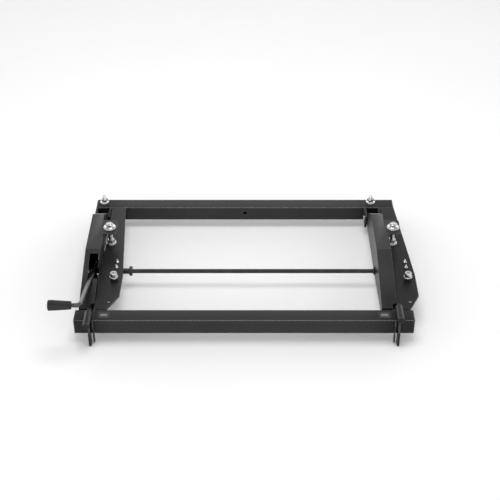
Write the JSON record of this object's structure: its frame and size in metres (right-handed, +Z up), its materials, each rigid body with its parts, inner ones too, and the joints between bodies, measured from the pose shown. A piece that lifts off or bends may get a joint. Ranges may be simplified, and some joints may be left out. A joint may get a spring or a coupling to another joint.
{
  "type": "lever clamping frame",
  "caption": "Rectangular steel frame with two humped side arms that a cross shaft and hand lever raise and drop, stop bolts, front hook plates and sliding latch bolts.",
  "frame": {"origin": "bottom centre of the whole object's box, on the plane that the hooks' tips and the rear feet stand on", "axes": "+X along the beams towards the side without the lever, +Y from the front beam to the rear beam, +Z up"},
  "size_m": [0.9764, 0.6248, 0.1618],
  "materials": {
    "black_coat": "semi-gloss fine-textured black powder coat",
    "zinc": "bright zinc-plated steel",
    "dark_steel": "blackened steel with a satin sheen",
    "black_oxide": "black oxide on turned steel, slightly oily",
    "black_plastic": "moulded black plastic, fine grain",
    "bronze": "sintered bronze",
    "label": "plain printed label, no text"
  },
  "bodies": {
    "frame": {"front_beam": "black_coat", "rear_beam": "black_coat", "front_beam_end_caps": "black_plastic", "rear_beam_end_caps": "black_plastic", "left_side_rail": "black_coat", "left_deck": "black_coat", "left_pivot_cheek": "black_coat", "left_foot_cheek": "black_coat", "right_side_rail": "black_coat", "right_deck": "black_coat", "right_pivot_cheek": "black_coat", "right_foot_cheek": "black_coat", "pivot_pins": "zinc", "pin_clips": "dark_steel", "left_bearing_block": "black_coat", "right_bearing_block": "black_coat", "bearing_bushes": "bronze", "bearing_studs": "zinc", "bearing_nuts": "zinc", "stop_bolts": "zinc", "stop_lower_nuts": "zinc", "stop_lower_washers": "zinc", "stop_top_washers": "zinc", "stop_top_nuts": "zinc", "deck_screws": "zinc", "deck_screw_washers": "zinc", "deck_screw_bushes": "black_plastic", "deck_screw_nuts": "zinc", "rear_bolts": "zinc", "rear_nuts": "zinc", "rear_washers": "zinc", "left_outer_hook": "black_coat", "right_outer_hook": "black_coat", "left_inner_hook": "black_coat", "right_inner_hook": "black_coat", "latch_guides": "dark_steel", "labels": "label"},
    "lever": {"cross_shaft": "black_oxide", "shaft_clip": "black_oxide", "left_cam": "black_oxide", "right_cam": "black_oxide", "left_shaft_collar": "black_oxide", "right_shaft_collar": "black_oxide", "collar_set_screws": "black_oxide", "shaft_sleeve": "black_oxide", "lever_hub": "dark_steel", "hub_pin": "dark_steel", "lever_bar": "dark_steel"},
    "grip": {"grip": "black_plastic"},
    "left_arm": {"left_arm": "black_coat", "left_arm_follower": "black_coat", "left_arm_pivot_tube": "black_coat", "left_arm_lug": "black_coat", "left_arm_pin": "zinc"},
    "right_arm": {"right_arm": "black_coat", "right_arm_follower": "black_coat", "right_arm_pivot_tube": "black_coat", "right_arm_lug": "black_coat"},
    "left_latch": {"left_latch_bolt": "black_coat"},
    "right_latch": {"right_latch_bolt": "black_coat"}
  },
  "joints": [
    {"name": "lever_turn", "type": "hinge", "parent": "frame", "child": "lever", "pos_m": [-0.40625, -0.02214, 0.049], "axis": [-1, 0, 0], "range_deg": [0, 40]},
    {"name": "grip_spin", "type": "hinge", "parent": "lever", "child": "grip", "pos_m": [-0.42825, -0.29831, 0.14777], "axis": [1, 0, 0], "continuous": true},
    {"name": "left_arm_pivot", "type": "hinge", "parent": "frame", "child": "left_arm", "pos_m": [-0.4115, 0.24436, 0.049], "axis": [1, 0, 0], "range_deg": [0, 2.21]},
    {"name": "right_arm_pivot", "type": "hinge", "parent": "frame", "child": "right_arm", "pos_m": [0.3995, 0.24436, 0.049], "axis": [1, 0, 0], "range_deg": [0, 2.21]},
    {"name": "left_latch_slide", "type": "slide", "parent": "frame", "child": "left_latch", "axis": [0, 1, 0], "range_m": [0, 0.025]},
    {"name": "right_latch_slide", "type": "slide", "parent": "frame", "child": "right_latch", "axis": [0, -1, 0], "range_m": [0, 0.025]}
  ],
  "couplings": [
    {"joint": "left_arm_pivot", "follows": "lever_turn", "ratio": 0.055},
    {"joint": "right_arm_pivot", "follows": "lever_turn", "ratio": 0.055}
  ]
}
